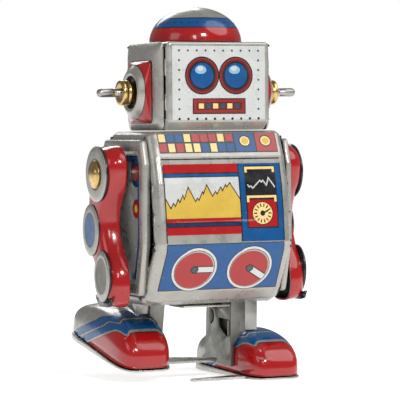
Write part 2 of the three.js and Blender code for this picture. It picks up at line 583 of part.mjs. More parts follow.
const clickBody = hull([...circle(clickPost.x, clickPost.z, 1.2, 14), ...circle(clickTip.x, clickTip.z,
  0.3, 8)]
  .flatMap(([x, z]) => [v3(x, 5.6, z), v3(x, 6.4, z)]));
add('click', clickBody.subtract(toSolid(latheY(rod(0.8, 5, 7), 12, clickPost.x, clickPost.z))),
  PAINT.steel);
add('click_post', latheY([[0, 3.6], [0.55, 3.6], [0.55, 6.8], [0, 6.8]], 12, clickPost.x, clickPost.z),
  PAINT.steel);

// ---- winding key ----
const keyTube = toSolid(latheY([[0, 29.7], [1.4, 29.7], [1.4, 26], [1.9, 26], [1.9, 31.6], [0, 31.6]], 16,
  0, TRAIN.mainZ));
const KEY = { blade: 0.9, from: 29.6, middle: 33.8, wingX: 5.6, wingRadius: 3.4, eyeX: 5.8,
  eyeRadius: 1.9 };
const keyDisc = (x, radius, thickness) => hull(circle(x, KEY.middle, radius, 16)
  .flatMap(([a, b]) => [-1, 1].map((side) => v3(a, b, TRAIN.mainZ + (side * thickness) / 2))));
const wing = (side) => keyDisc(side * KEY.wingX, KEY.wingRadius, KEY.blade);
const wingHole = (side) => keyDisc(side * KEY.eyeX, KEY.eyeRadius, 2);
const keyStem = toSolid(box(-2.8, 2.8, KEY.from, KEY.from + 6.2,
  TRAIN.mainZ - KEY.blade / 2, TRAIN.mainZ + KEY.blade / 2));
const keyBody = keyTube.add(keyStem).add(wing(1)).add(wing(-1)).subtract(wingHole(1)).subtract(wingHole(-1));
add('winding_key', keyBody, PAINT.tin);

export default toy;
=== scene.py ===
import json
import math

import bmesh
import bpy
from mathutils import Matrix, Vector
from mathutils.geometry import tessellate_polygon


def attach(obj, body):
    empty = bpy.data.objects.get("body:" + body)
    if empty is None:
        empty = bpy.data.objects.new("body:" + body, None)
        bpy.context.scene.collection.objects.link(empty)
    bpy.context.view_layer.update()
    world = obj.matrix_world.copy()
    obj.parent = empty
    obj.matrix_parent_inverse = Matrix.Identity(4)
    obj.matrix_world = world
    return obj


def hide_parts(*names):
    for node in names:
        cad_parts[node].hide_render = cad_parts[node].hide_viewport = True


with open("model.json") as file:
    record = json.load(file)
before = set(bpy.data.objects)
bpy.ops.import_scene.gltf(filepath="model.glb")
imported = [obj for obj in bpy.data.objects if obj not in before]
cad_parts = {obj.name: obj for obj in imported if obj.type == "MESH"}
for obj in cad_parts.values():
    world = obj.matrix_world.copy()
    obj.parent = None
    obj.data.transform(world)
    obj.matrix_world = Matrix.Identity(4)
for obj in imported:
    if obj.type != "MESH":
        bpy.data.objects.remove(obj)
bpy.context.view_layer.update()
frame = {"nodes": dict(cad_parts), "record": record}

# ---- units and places: sizes are millimetres in the toy's own frame, y is shifted as in the CAD source ----
MM = 0.001
SHIFT_Y = -12.27
SHEET = 0.6
INK = 0.05

HEAD = {"half": 18.0, "front": -15.6, "back": 15.6, "bottom": 80.3, "chin": 83.1, "top": 108.3,
        "chin_back": 3.4}
EAR_Y, EAR_Z = 0.6, 92.4
DOME = {"radius": 14.9, "height": 11.4, "y": 2.0, "z": 108.6}
TORSO_HALF, TORSO_EDGE, TORSO_MID = 23.8, 3.0, 2.3
CHEST = [(-11.6, 80), (-12.9, 79.4), (-16.1, 72), (-18.2, 63.5), (-19.5, 54), (-20.2, 44.6), (-19.8, 42),
         (-12.6, 29), (-10.2, 26), (-7, 24.6)]
SET_BACK = 0.1
CHEST = [(y + SET_BACK, z) for y, z in CHEST]
SHOULDER = (2.7, 66.5)
FOOT = {"inner": 11.0, "outer": 29.3, "toe": -26.4, "length": 50.0, "base": -21.3, "round": 0.42,
        "crown": 3.6}
LEGS = {"L": {"pin": (8.3, 23.3), "tilt": 2.0, "sign": 1},
        "R": {"pin": (16.3, 30.8), "tilt": 12.0, "sign": -1}}

LEFT, RIGHT = 1, -1
BODY = {LEFT: ("left_arm", "left_leg"), RIGHT: ("right_arm", "right_leg")}


# ---- materials ----
class Nodes:
    """A small helper that builds a node tree by short calls."""

    def __init__(self, name):
        self.material = bpy.data.materials.new(name)
        self.material.use_nodes = True
        self.tree = self.material.node_tree
        self.shader = self.tree.nodes["Principled BSDF"]
        self.place = self.node("ShaderNodeTexCoord").outputs["Object"]

    def node(self, kind, **values):
        made = self.tree.nodes.new(kind)
        for key, value in values.items():
            setattr(made, key, value)
        return made

    def link(self, source, target):
        self.tree.links.new(source, target)

    def noise(self, scale, detail=3.0, stretch=(1, 1, 1), rough=0.55):
        mapping = self.node("ShaderNodeMapping")
        mapping.inputs["Scale"].default_value = stretch
        self.link(self.place, mapping.inputs["Vector"])
        made = self.node("ShaderNodeTexNoise")
        made.inputs["Scale"].default_value = scale
        made.inputs["Detail"].default_value = detail
        made.inputs["Roughness"].default_value = rough
        self.link(mapping.outputs["Vector"], made.inputs["Vector"])
        return made.outputs["Fac"]

    def ramp(self, source, stops):
        made = self.node("ShaderNodeValToRGB")
        ramp = made.color_ramp
        while len(ramp.elements) < len(stops):
            ramp.elements.new(0.5)
        for element, (position, color) in zip(ramp.elements, stops):
            element.position = position
            element.color = (*color, 1) if len(color) == 3 else color
        self.link(source, made.inputs["Fac"])
        return made.outputs["Color"]

    def mix(self, factor, first, second, blend="MIX"):
        made = self.node("ShaderNodeMix", data_type="RGBA", blend_type=blend)
        for socket, value in ((0, factor), (6, first), (7, second)):
            if isinstance(value, bpy.types.NodeSocket):
                self.link(value, made.inputs[socket])
            else:
                made.inputs[socket].default_value = value if socket == 0 else (*value, 1)
        return made.outputs[2]

    def bump(self, parts):
        last = None
        for height, strength, distance in parts:
            made = self.node("ShaderNodeBump")
            made.inputs["Strength"].default_value = strength
            made.inputs["Distance"].default_value = distance * MM
            self.link(height, made.inputs["Height"])
            if last is not None:
                self.link(last, made.inputs["Normal"])
            last = made.outputs["Normal"]
        self.link(last, self.shader.inputs["Normal"])

    def finish(self, **values):
        for key, value in values.items():
            self.shader.inputs[key.replace("_", " ")].default_value = value
        return self.material


def grey(level):
    return (level, level, level)


def enamel(name, color, rough=0.16, metal=0.0, coat=0.6, worn=0.5, mottle=0.08, dirt=0.16):
    """Baked litho ink under varnish: mottled colour, fine scratches and specks of bare tin."""
    n = Nodes(name)
    cloud = n.noise(160, 4)
    dark = tuple(c * (1 - mottle) for c in color)
    light = tuple(min(1.0, c * (1 + mottle / 2)) for c in color)
    base = n.ramp(cloud, [(0.32, dark), (0.68, light)])
    grime = n.ramp(n.noise(70, 5), [(0.56, grey(0.0)), (0.82, grey(dirt))])
    base = n.mix(grime, base, tuple(c * 0.55 + 0.02 for c in color))
    specks = n.ramp(n.noise(1300, 2), [(0.735, grey(0.0)), (0.77, grey(worn))])
    scratches = n.ramp(n.noise(420, 2, (0.06, 1, 1.6)), [(0.715, grey(0.0)), (0.75, grey(worn * 0.8))])
    base = n.mix(specks, base, (0.42, 0.40, 0.36))
    base = n.mix(scratches, base, (0.40, 0.38, 0.34))
    n.link(base, n.shader.inputs["Base Color"])
    roughness = n.ramp(n.noise(240, 4), [(0.3, grey(rough * 0.7)), (0.75, grey(min(1, rough * 1.9)))])
    n.link(roughness, n.shader.inputs["Roughness"])
    n.bump([(n.noise(520, 2), 0.10, 0.05), (n.noise(90, 3), 0.10, 0.25)])
    return n.finish(Metallic=metal, Coat_Weight=coat, Coat_Roughness=0.08)


def metal(name, color, rough=0.3, grain=(1, 1, 1), stain=0.35, grain_scale=700):
    """Bare metal: drawn grain, dull stains and small nicks."""
    n = Nodes(name)
    tone = n.ramp(n.noise(120, 5), [(0.3, tuple(c * 0.72 for c in color)), (0.7, color)])
    dull = n.ramp(n.noise(60, 6), [(0.52, grey(0.0)), (0.78, grey(stain))])
    tone = n.mix(dull, tone, tuple(c * 0.38 for c in color))
    line = n.ramp(n.noise(grain_scale, 3, grain), [(0.3, grey(0.8)), (0.7, grey(1.0))])
    tone = n.mix(1.0, tone, line, "MULTIPLY")
    n.link(tone, n.shader.inputs["Base Color"])
    roughness = n.ramp(n.noise(190, 5), [(0.3, grey(rough * 0.75)), (0.75, grey(min(1, rough * 1.7)))])
    n.link(roughness, n.shader.inputs["Roughness"])
    n.bump([(n.noise(grain_scale, 3, grain), 0.22, 0.04), (n.noise(150, 4), 0.12, 0.15)])
    return n.finish(Metallic=1.0)


SILVER = enamel("silver_lacquer", (0.40, 0.39, 0.355), 0.26, 0.55, 0.25, 0.2, 0.06, 0.12)
WHITE = enamel("pale_ink", (0.58, 0.59, 0.57), 0.24, 0.15, 0.3, 0.2, 0.03, 0.05)
RED = enamel("red_ink", (0.37, 0.006, 0.007), 0.13, 0.0, 0.4, 0.4)
BRICK = enamel("brick_ink", (0.27, 0.020, 0.018), 0.18, 0.0, 0.4, 0.4)
BLUE = enamel("blue_ink", (0.001, 0.072, 0.235), 0.18, 0.0, 0.15, 0.4)
NAVY = enamel("navy_ink", (0.012, 0.024, 0.080), 0.18, 0.0, 0.3, 0.3)
YELLOW = enamel("yellow_ink", (0.60, 0.40, 0.060), 0.2, 0.0, 0.2, 0.3)
CREAM = enamel("cream_ink", (0.80, 0.60, 0.24), 0.2, 0.0, 0.3, 0.3)
BLACK = enamel("black_ink", (0.006, 0.006, 0.008), 0.22, 0.0, 0.3, 0.2)
OLIVE = enamel("olive_ink", (0.085, 0.080, 0.060), 0.25, 0.1, 0.3, 0.3)
SLATE = enamel("slate_ink", (0.040, 0.062, 0.085), 0.2, 0.0, 0.3, 0.3)
SKY = enamel("sky_ink", (0.25, 0.44, 0.62), 0.16, 0.0, 0.4, 0.2)
MAROON = enamel("maroon_ink", (0.115, 0.010, 0.012), 0.18, 0.0, 0.3, 0.3)
GOLD_INK = enamel("gold_ink", (0.60, 0.42, 0.14), 0.22, 0.5, 0.3, 0.4)
TIN = metal("tinplate", (0.68, 0.67, 0.62), 0.26, (1, 1, 14))
DULL_TIN = metal("dull_tinplate", (0.30, 0.30, 0.265), 0.36, (1, 1, 12), 0.6)
# dark tin for the inner faces of the sheets; the same colour makes the dark sheets in the slits and leg windows,
# which are painted shade
INSIDE_AND_SHADE = metal("inside_tin_and_shade", (0.16, 0.155, 0.135), 0.45, (1, 8, 1), 0.6)
STEEL = metal("turned_steel", (0.50, 0.49, 0.46), 0.27, (14, 1, 1))
SPRING = metal("blued_steel", (0.13, 0.15, 0.19), 0.25, (1, 10, 1))
BRASS = metal("turned_brass", (0.80, 0.55, 0.22), 0.2, (16, 1, 1), 0.3)
COPPER = metal("coppered_steel", (0.34, 0.19, 0.125), 0.38, (1, 1, 1), 0.5)

FINISH = {"paint_grey": SILVER, "paint_red": RED, "tin": TIN, "dark_tin": DULL_TIN, "steel": STEEL,
          "spring_steel": SPRING, "brass": BRASS, "copper": COPPER}


# ---- mesh helpers ----
def point(x, y, z):
    return Vector((x, y + SHIFT_Y, z)) * MM


def make(name, verts, faces, materials, body, slot, indices=None, smooth=True, replaces=()):
    mesh = bpy.data.meshes.new(name)
    mesh.from_pydata([tuple(v) for v in verts], [], faces)
    for material in materials:
        mesh.materials.append(material)
    if indices is not None:
        mesh.polygons.foreach_set("material_index", indices)
    mesh.polygons.foreach_set("use_smooth", [smooth] * len(mesh.polygons))
    mesh.update()
    piece = bpy.data.objects.new(name, mesh)
    bpy.context.scene.collection.objects.link(piece)
    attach(piece, body)
    if replaces:
        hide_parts(*replaces)
    return piece


def outward(piece):
    work = bmesh.new()
    work.from_mesh(piece.data)
    bmesh.ops.remove_doubles(work, verts=work.verts, dist=0.002 * MM)
    bmesh.ops.recalc_face_normals(work, faces=work.faces)
    work.to_mesh(piece.data)
    work.free()
    return piece


def thicken(piece, thickness, material_offset=0):
    solid = piece.modifiers.new("thickness", "SOLIDIFY")
    solid.thickness = thickness * MM
    solid.offset = -1
    solid.use_even_offset = False
    solid.material_offset = material_offset
    return piece


def soften(piece, width, segments=2, angle=28):
    edge = piece.modifiers.new("edge", "BEVEL")
    edge.width = width * MM
    edge.segments = segments
    edge.limit_method = "ANGLE"
    edge.angle_limit = math.radians(angle)
    edge.harden_normals = True
    return piece


def rounded(outline, radius, steps=5, closed=True):
    """An outline with its corners turned into arcs of about the given radius."""
    result = []
    count = len(outline)
    for i, here in enumerate(outline):
        if not closed and i in (0, count - 1):
            result.append(here)
            continue
        here = Vector(here)
        before = Vector(outline[i - 1]) - here
        after = Vector(outline[(i + 1) % count]) - here
        half = before.angle(after) / 2
        if half > math.radians(88.5):
            result.append(tuple(here))
            continue
        reach = min(radius / math.tan(half), before.length * 0.46, after.length * 0.46)
        start = here + before.normalized() * reach
        end = here + after.normalized() * reach
        for k in range(steps + 1):
            t = k / steps
            bend = start * (1 - t) ** 2 + here * 2 * t * (1 - t) + end * t * t
            result.append((bend.x, bend.y))
    return result


def smooth_loop(points, steps):
    """A closed Catmull-Rom curve through the points."""
    result = []
    count = len(points)
    for i in range(count):
        a, b, c, d = (Vector(points[(i + k - 1) % count]) for k in range(4))
        for k in range(steps):
            t = k / steps
            spot = 0.5 * ((2 * b) + (c - a) * t + (2 * a - 5 * b + 4 * c - d) * t ** 2
                          + (3 * b - a - 3 * c + d) * t ** 3)
            result.append((spot.x, spot.y))
    return result


def normals_of(outline):
    """Inward unit normals of a closed outline that runs anticlockwise."""
    result = []
    count = len(outline)
    for i in range(count):
        before = Vector(outline[i - 1])
        after = Vector(outline[(i + 1) % count])
        along = (after - before).normalized()
        result.append(Vector((-along.y, along.x)))
    return result


def area_sign(outline):
    total = sum(a[0] * b[1] - b[0] * a[1] for a, b in zip(outline, outline[1:] + outline[:1]))
    return 1 if total > 0 else -1


def anticlockwise(outline):
    return outline if area_sign(outline) > 0 else outline[::-1]


def rings_mesh(name, rings, materials, body, slot, indices=None, cap_end=True, cap_start=False, **rest):
    """Loops of the same number of points joined one to the next; ring k to k+1 takes material indices[k]."""
    count = len(rings[0])
    verts = [p for ring in rings for p in ring]
    faces, paint = [], []
    for k in range(len(rings) - 1):
        for i in range(count):
            j = (i + 1) % count
            faces.append((k * count + i, k * count + j, (k + 1) * count + j, (k + 1) * count + i))
            paint.append(indices[k] if indices else 0)
    if cap_end:
        faces.append(tuple((len(rings) - 1) * count + i for i in range(count)))
        paint.append(indices[-1] if indices else 0)
    if cap_start:
        faces.append(tuple(reversed(range(count))))
        paint.append(indices[0] if indices else 0)
    piece = make(name, verts, faces, materials, body, slot, paint, **rest)
    return outward(piece)


def lathe_x(name, side, centre, profile, materials, body, slot, indices=None, segments=48, **rest):
    """profile is (radius, x) from one end to the other."""
    y, z = centre
    rings = [[point(side * x, y + max(r, 0.002) * math.cos(t), z + max(r, 0.002) * math.sin(t))
              for t in (2 * math.pi * i / segments for i in range(segments))] for r, x in profile]
    return rings_mesh(name, rings, materials, body, slot, indices, True, True, **rest)


# ---- printing: closed ink shapes a twentieth of a millimetre thick, laid on a sheet ----
class Sheet:
    """Maps flat (u, v) in mm to a point on a sheet and its outward normal."""

    def __init__(self, place, kinks=(), step=None):
        self.place = place
        self.kinks = list(kinks)
        self.step = step


def disc(u, v, radius, squash=1.0, count=40):
    return [(u + radius * math.cos(2 * math.pi * i / count),
             v + squash * radius * math.sin(2 * math.pi * i / count))
            for i in range(count)]


def rect(u0, u1, v0, v1):
    return [(u0, v0), (u1, v0), (u1, v1), (u0, v1)]


def ring(u, v, outer, inner, squash=1.0, count=48):
    """A ring as one outline with a slit."""
    loop = [(u + outer * math.cos(2 * math.pi * i / count),
             v + squash * outer * math.sin(2 * math.pi * i / count))
            for i in range(count + 1)]
    back = [(u + inner * math.cos(2 * math.pi * i / count),
             v + squash * inner * math.sin(2 * math.pi * i / count))
            for i in range(count, -1, -1)]
    return loop + back


def stroke(points, width):
    """A band of constant width along an open line, with mitred corners."""
    line = [Vector(p) for p in points]
    left, right = [], []
    for i, here in enumerate(line):
        d1 = (here - line[i - 1]).normalized() if i else None
        d2 = (line[i + 1] - here).normalized() if i < len(line) - 1 else None
        along = ((d1 or d2) + (d2 or d1)).normalized()
        across = Vector((-along.y, along.x))
        base = d1 or d2
        stretch = 1 / max(0.42, abs(across.dot(Vector((-base.y, base.x)))))
        left.append(tuple(here + across * width / 2 * stretch))
        right.append(tuple(here - across * width / 2 * stretch))
    return left + right[::-1]


def printing(name, sheet, shapes, body):
    """shapes is a list of (layer, material, outline): a higher layer lies on a lower one."""
    work = bmesh.new()
    used = []
    for layer, material, outline in shapes:
        if material not in used:
            used.append(material)
        part = bmesh.new()
        spots = [part.verts.new((u, v, 0)) for u, v in outline]
        for triangle in tessellate_polygon([[Vector((u, v, 0)) for u, v in outline]]):
            try:
                part.faces.new([spots[i] for i in triangle])
            except ValueError:
                pass
        bmesh.ops.remove_doubles(part, verts=part.verts, dist=1e-4)
        bmesh.ops.dissolve_limit(part, angle_limit=0.01, verts=part.verts, edges=part.edges)
        cuts = [(1, value) for value in sheet.kinks]
        if sheet.step:
            for axis in (0, 1):
                values = [v.co[axis] for v in part.verts]
                first = math.floor(min(values) / sheet.step)
                last = math.ceil(max(values) / sheet.step)
                cuts += [(axis, k * sheet.step) for k in range(first, last + 1)]
        for axis, value in cuts:
            spot = Vector((value, 0, 0)) if axis == 0 else Vector((0, value, 0))
            normal = Vector((1, 0, 0)) if axis == 0 else Vector((0, 1, 0))
            bmesh.ops.bisect_plane(part, geom=part.verts[:] + part.edges[:] + part.faces[:], dist=1e-6,
                                   plane_co=spot, plane_no=normal)
        bmesh.ops.recalc_face_normals(part, faces=part.faces)
        flip = sum(f.normal.z * f.calc_area() for f in part.faces) < 0
        low, high = {}, {}
        for v in part.verts:
            spot, normal = sheet.place(v.co.x, v.co.y)
            low[v.index] = work.verts.new(spot + normal * 0.004 * MM)
            high[v.index] = work.verts.new(spot + normal * INK * layer * MM)
        index = used.index(material)
        part.verts.index_update()
        for f in part.faces:
            loop = [v.index for v in f.verts]
            if flip:
                loop.reverse()
            top = work.faces.new([high[i] for i in loop])
            bottom = work.faces.new([low[i] for i in reversed(loop)])
            top.material_index = bottom.material_index = index
        for e in part.edges:
            if len(e.link_faces) == 1:
                a, b = (v.index for v in e.verts)
                wall = work.faces.new([low[a], low[b], high[b], high[a]])
                wall.material_index = index
        part.free()
    bmesh.ops.recalc_face_normals(work, faces=work.faces)
    mesh = bpy.data.meshes.new(name)
    work.to_mesh(mesh)
    work.free()
    for material in used:
        mesh.materials.append(material)
    piece = bpy.data.objects.new(name, mesh)
    bpy.context.scene.collection.objects.link(piece)
    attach(piece, body)
    return piece


def profile_sheet(profile):
    """A sheet that runs straight along X and follows a (y, z) profile, read by height."""
    heights = [z for _, z in profile]

    def place(u, v):
        v = max(min(v, heights[-1] - 1e-6), heights[0])
        k = max(i for i in range(len(heights) - 1) if heights[i] <= v)
        (y0, z0), (y1, z1) = profile[k], profile[k + 1]
        t = (v - z0) / (z1 - z0)
        normal = Vector((0, -(z1 - z0), y1 - y0)).normalized()
        return point(u, y0 + (y1 - y0) * t, v), normal

    return Sheet(place, heights[1:-1])


# ---- wrapped sheets: the head and the torso ----
def wrapped(name, outline, half, edge, step, materials, replaces, drop_face=None, columns=(),
            finish="paint_grey"):
    """A sheet bent round the X axis whose side edges are rolled inward, with true thickness."""
    outline = anticlockwise(outline)
    inward = normals_of(outline)
    flat = half - edge
    xs = []
    turns = 8
    for k in range(turns + 1):
        angle = math.pi / 2 * (1 - k / turns)
        xs.append((-(flat + edge * math.sin(angle)), edge * (1 - math.cos(angle))))
    inner_count = max(2, round(2 * flat / step))
    inner = [-flat + 2 * flat * i / inner_count for i in range(1, inner_count)] + list(columns)
    xs += [(x, 0.0) for x in sorted(inner)]
    xs += [(-x, drop) for x, drop in reversed(xs[:turns + 1])]
    count = len(outline)
    verts = [point(x, p[0] + n.x * drop, p[1] + n.y * drop)
             for x, drop in xs for p, n in zip(outline, inward)]
    faces = []
    for c in range(len(xs) - 1):
        for i in range(count):
            j = (i + 1) % count
            middle = ((xs[c][0] + xs[c + 1][0]) / 2, (outline[i][0] + outline[j][0]) / 2,
                      (outline[i][1] + outline[j][1]) / 2)
            if drop_face and drop_face(*middle):
                continue
            faces.append((c * count + i, c * count + j, (c + 1) * count + j, (c + 1) * count + i))
    piece = make(name, verts, faces, materials, "frame", finish, replaces=replaces)
    outward(piece)
    centre = point(0, TORSO_MID, outline[0][1])
    tally = sum((f.center - centre).dot(f.normal) for f in piece.data.polygons)
    if tally < 0:
        piece.data.flip_normals()
    return thicken(piece, SHEET, 1)


def split(points, longest):
    """Adds points so that no step of a closed outline is longer than the given length."""
    result = []
    for a, b in zip(points, points[1:] + points[:1]):
        steps = max(1, math.ceil(math.dist(a, b) / longest))
        result += [(a[0] + (b[0] - a[0]) * k / steps, a[1] + (b[1] - a[1]) * k / steps) for k in range(steps)]
    return result


HEAD_OUTLINE = [(HEAD["front"], HEAD["top"]), (HEAD["front"], HEAD["chin"]),
                (HEAD["front"] + HEAD["chin_back"], HEAD["bottom"]),
                (HEAD["back"] - HEAD["chin_back"], HEAD["bottom"]),
                (HEAD["back"], HEAD["chin"]), (HEAD["back"], HEAD["top"])]
wrapped("head_sheet", split(rounded(HEAD_OUTLINE, 1.1), 3.0), HEAD["half"], 1.4, 3.0, [SILVER, INSIDE_AND_SHADE],
        ["head_shell"])

BACK = [(2 * TORSO_MID - y, z) for y, z in CHEST[::-1]]
TORSO_LOOP = anticlockwise(CHEST + BACK)
LEG_CUT_Z, LEG_CUT_X, LEG_CUT_Y = 35.0, 20.6, -7.3


def leg_cut(x, y, z):
    return abs(x) < LEG_CUT_X and z < LEG_CUT_Z and y > LEG_CUT_Y


def with_height(loop, height):
    """Adds the points where the outline passes a height, so that a cut can follow them."""
    result = []
    for a, b in zip(loop, loop[1:] + loop[:1]):
        result.append(a)
        if (a[1] - height) * (b[1] - height) < 0:
            t = (height - a[1]) / (b[1] - a[1])
            result.append((a[0] + (b[0] - a[0]) * t, height))
    return result


wrapped("torso_sheet", split(with_height(rounded(TORSO_LOOP, 1.6), LEG_CUT_Z), 3.0), TORSO_HALF, TORSO_EDGE,
                3.0, [SILVER, INSIDE_AND_SHADE], ["torso_shell"], leg_cut, (-LEG_CUT_X, LEG_CUT_X))

# ---- face printing ----
face = Sheet(lambda u, v: (point(u, HEAD["front"], v), Vector((0, -1, 0))))
EYE = {"x": 5.92, "z": 97.6, "outer": 5.88, "inner": 4.4, "iris": 3.95}
shapes = [(0.6, WHITE, rect(-16.3, 16.3, 83.6, 107.0))]
for k in range(10):
    u = -13.9 + 27.8 * k / 9
    shapes += [(1, SLATE, disc(u, 105.5, 0.36, count=14)), (1, BLACK, disc(u, 83.9, 0.42, count=14))]
for k in range(1, 7):
    v = 105.5 - (105.5 - 83.9) * k / 7
    shapes += [(1, SLATE, disc(side * 13.9, v, 0.36, count=14)) for side in (LEFT, RIGHT)]
for side in (LEFT, RIGHT):
    u = side * EYE["x"]
    shapes += [(1.2, BLACK, disc(u, EYE["z"], EYE["outer"] + 0.12, count=64)),
               (1.6, BRICK, disc(u, EYE["z"], EYE["outer"] - 0.3, count=64)),
               (2.0, MAROON, ring(u, EYE["z"], EYE["inner"] + 0.75, EYE["inner"] + 0.1)),
               (2.2, BLACK, disc(u, EYE["z"], EYE["inner"] + 0.15, count=56)),
               (2.7, BLUE, disc(u, EYE["z"], EYE["iris"], count=56)),
               (3.1, SKY, [(u - 0.5 + (1.95 * math.cos(t)) * (1 - 0.12 * math.sin(t)),
                            EYE["z"] + 1.85 + 1.35 * math.sin(t)) for t in (math.tau * i / 28 for i in range(28))]),
               (3.5, WHITE, disc(u - 0.7, EYE["z"] + 2.2, 1.05, 0.72, 24))]
MOUTH = {"half": 9.3, "low": 85.4, "high": 90.4}
shapes += [(1.2, BLACK, rect(-MOUTH["half"], MOUTH["half"], MOUTH["low"], MOUTH["high"])),
           (1.7, BRICK, rect(-MOUTH["half"] + 0.35, MOUTH["half"] - 0.35, MOUTH["low"] + 0.35,
                             MOUTH["high"] - 0.35)),
           (2.1, MAROON, rect(-7.9, 7.9, 86.75, 89.15))]
for k in range(6):
    u = -7.2 + k * 2.5
    shapes.append((2.6, CREAM if k % 2 == 0 else SLATE, rect(u, u + 1.8, 87.15, 88.75)))
printing("face_print", face, shapes, "frame")

# ---- head sides: a stepped panel with a raised red square, a round collar and a dark recess ----
PANEL_MID_Z = (HEAD["top"] + HEAD["bottom"]) / 2


def rounded_box(half_a, half_b, corner, middle, steps=7):
    loop = []
    for quarter, (sa, sb) in enumerate(((1, 1), (-1, 1), (-1, -1), (1, -1))):
        for k in range(steps):
            angle = math.pi / 2 * (quarter + k / (steps - 1))
            loop.append((middle[0] + sa * (half_a - corner) + corner * math.cos(angle),
                         middle[1] + sb * (half_b - corner) + corner * math.sin(angle)))
    return loop


def oval(half_a, half_b, middle, steps=7):
    """A circle with its points where rounded_box puts its own, so that the two join."""
    loop = []
    for quarter in range(4):
        for k in range(steps):
            angle = math.pi / 2 * (quarter + (k + 0.5) / steps)
            loop.append((middle[0] + half_a * math.cos(angle), middle[1] + half_b * math.sin(angle)))
    return loop


ear = (EAR_Y, EAR_Z + 0.2)
panel = (0.1, PANEL_MID_Z)
HEAD_SIDE_RINGS = [
    (rounded_box(13.3, 14.0, 2.4, panel), 18.2, 0), (rounded_box(13.3, 14.0, 2.4, panel), 18.6, 0),
    (rounded_box(13.1, 13.8, 2.3, panel), 18.85, 0), (rounded_box(11.1, 11.8, 2.2, panel), 19.9, 0),
    (rounded_box(10.8, 11.5, 2.2, panel), 20.0, 0), (rounded_box(9.1, 10.1, 1.6, ear), 20.0, 1),
    (rounded_box(8.95, 9.95, 1.6, ear), 20.05, 1), (rounded_box(8.8, 9.8, 1.6, ear), 20.35, 2),
    (rounded_box(8.5, 9.4, 1.9, ear), 20.7, 2), (oval(8.9, 8.9, ear), 22.2, 1),
    (oval(8.6, 8.6, ear), 22.35, 0), (oval(8.3, 8.3, ear), 22.7, 0), (oval(7.0, 7.0, ear), 23.7, 0),
    (oval(6.5, 6.5, ear), 23.97, 0), (oval(5.9, 5.9, ear), 23.95, 0), (oval(5.3, 5.3, ear), 23.6, 3),
    (oval(5.1, 5.1, ear), 22.9, 3), (oval(5.05, 5.05, ear), 22.0, 3), (oval(3.7, 3.7, ear), 21.85, 3),
]
for side, tag in ((LEFT, "L"), (RIGHT, "R")):
    loops = [[point(side * x, y, z) for y, z in loop] for loop, x, _ in HEAD_SIDE_RINGS]
    piece = rings_mesh(f"head_panel_{tag}", loops, [SILVER, BLACK, RED, OLIVE, INSIDE_AND_SHADE], "frame",
                       "paint_grey",
                       [paint for _, _, paint in HEAD_SIDE_RINGS], False, replaces=[f"head_side_{tag}"])
    tally = sum(f.normal.x * side * f.area for f in piece.data.polygons)
    if tally < 0:
        piece.data.flip_normals()
    thicken(piece, 0.5)
    soften(piece, 0.12, 2, 40)

# locking tabs that fold the head panels to the face sheet
for side, tag in ((LEFT, "L"), (RIGHT, "R")):
    for k, height in enumerate((101.5, 90.5)):
        outline = rounded_box(0.42, 2.6, 0.3, (-14.2, height - 1.3))
        loops = [[point(side * x, y, z) for y, z in outline] for x in (17.6, 18.15)]
        rings_mesh(f"head_tab_{tag}_{k + 1}", loops, [TIN], "frame", "tin", None, True, True)


def slit_ring(outer, inner_loop):
    return outer + outer[:1] + inner_loop[:1] + inner_loop[::-1]


def slit_shade(name, x, outer, inner_loop, side):
    """A dark inner sheet of a side panel, seen only through the slit round it: painted shade standing for the
    shadow in the gap.
    """
    def place(u, v):
        return point(side * x, u, v), Vector((side, 0, 0))
    printing(name, Sheet(place), [(6, INSIDE_AND_SHADE, slit_ring(outer, inner_loop))], "frame")


# ---- dome ----
BANDS = [(108.6, RED), (112.95, BLACK), (113.25, BLUE), (116.0, BLACK), (116.3, SILVER), (120.0, SILVER)]
rows, paints = [], []
for (low, ink), (high, _) in zip(BANDS, BANDS[1:]):
    steps = max(1, round((high - low) / 0.45))
    rows += [low + (high - low) * k / steps for k in range(steps)]
    paints += [[RED, BLACK, BLUE, SILVER].index(ink)] * steps
rings = []
for height in rows:
    radius = DOME["radius"] * math.sqrt(max(0.0, 1 - ((height - DOME["z"]) / DOME["height"]) ** 2))
    rings.append([point(radius * math.cos(t), DOME["y"] + radius * math.sin(t), height)
                  for t in (math.tau * i / 96 for i in range(96))])
for share in (0.035, 0.008):
    radius = DOME["radius"] * math.sqrt(1 - (1 - share) ** 2)
    height = DOME["z"] + DOME["height"] * (1 - share)
    if height > rows[-1]:
        rings.append([point(radius * math.cos(t), DOME["y"] + radius * math.sin(t), height)
                      for t in (math.tau * i / 96 for i in range(96))])
        paints.append(3)
top = [point(0.02 * math.cos(math.tau * i / 96), DOME["y"] + 0.02 * math.sin(math.tau * i / 96), 119.98)
       for i in range(96)]
rings.append(top)
dome = rings_mesh("dome_sheet", rings, [RED, BLACK, BLUE, SILVER, INSIDE_AND_SHADE], "frame", "paint_red",
                  paints + [3], True,
                  replaces=["head_dome"])
thicken(dome, 0.5)


def dome_place(u, v):
    """u is an angle in degrees from the front and v is a height."""
    share = (v - DOME["z"]) / DOME["height"]
    radius = DOME["radius"] * math.sqrt(1 - share * share)
    angle = math.radians(u - 90)
    spot = point(radius * math.cos(angle), DOME["y"] + radius * math.sin(angle), v)
    normal = Vector((radius * math.cos(angle) / DOME["radius"] ** 2,
                     radius * math.sin(angle) / DOME["radius"] ** 2,
                     (v - DOME["z"]) / DOME["height"] ** 2)).normalized()
    return spot, normal


printing("dome_dots", Sheet(dome_place),
         [(1, NAVY, [(11.25 * k + 1.5 * math.cos(t), 114.65 + 0.26 * math.sin(t))
                     for t in (math.tau * i / 12 for i in range(12))]) for k in range(32)], "frame")

